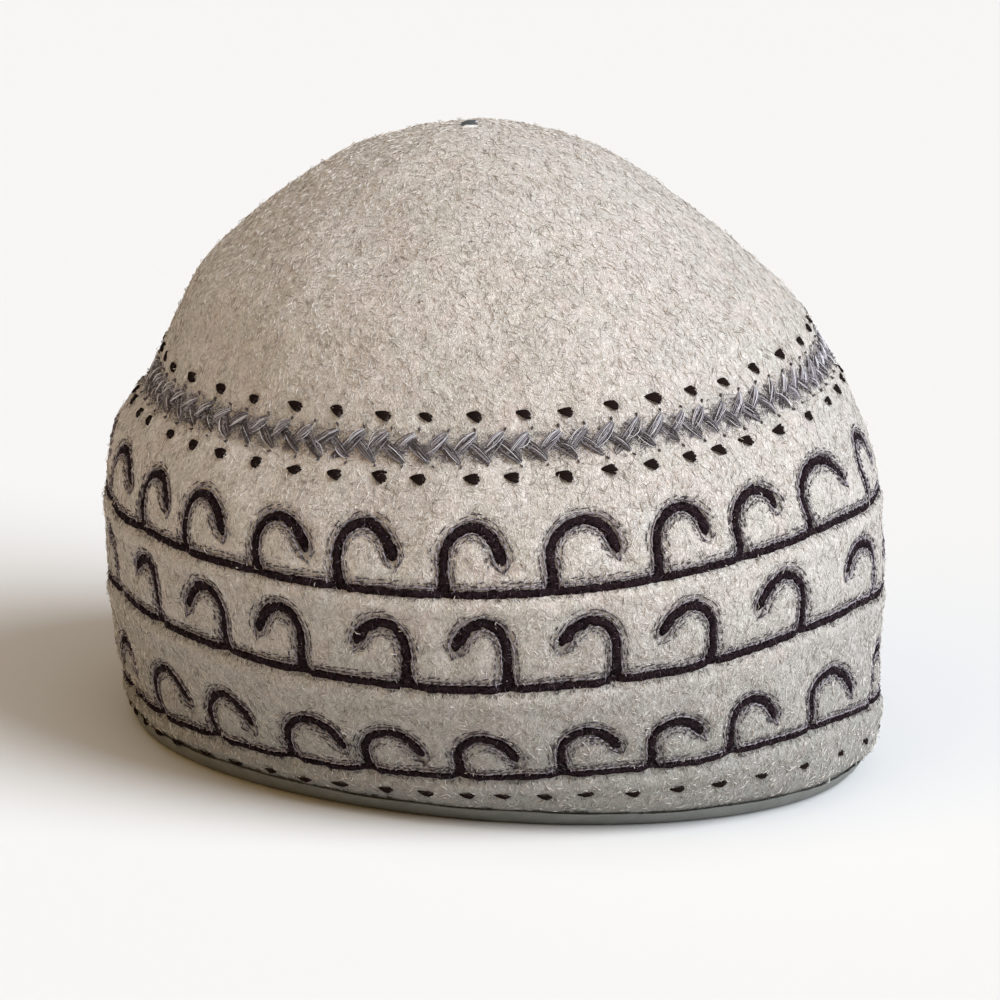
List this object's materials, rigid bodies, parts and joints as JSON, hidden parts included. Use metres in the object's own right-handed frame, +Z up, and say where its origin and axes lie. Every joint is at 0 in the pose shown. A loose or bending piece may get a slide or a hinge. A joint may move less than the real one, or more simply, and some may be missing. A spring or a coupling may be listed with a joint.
{
  "type": "felted wool beanie",
  "caption": "Hollow domed wool felt cap with rows of couched hook cord, a herringbone yarn band and a bound edge.",
  "frame": {"origin": "middle of the outline's box, on the surface that the bound edge stands on", "axes": "+Z up to the crown, -Y the side that the picture shows, +X to its right"},
  "size_m": [0.2189, 0.2329, 0.169],
  "materials": {
    "felt": "thick felted wool, heathered beige with short pale fibres",
    "binding": "smooth olive grey woven edge tape with a dark stitched line",
    "dark_cord": "very dark brown twisted wool cord, matt and slightly fuzzy",
    "grey_yarn": "mid grey wool yarn in herringbone stitch"
  },
  "bodies": {
    "root": {"felt_cap": "felt", "edge_binding": "binding", "lower_hook_cord": "dark_cord", "middle_hook_cord": "dark_cord", "upper_hook_cord": "dark_cord", "herringbone_band": "grey_yarn"}
  },
  "joints": []
}
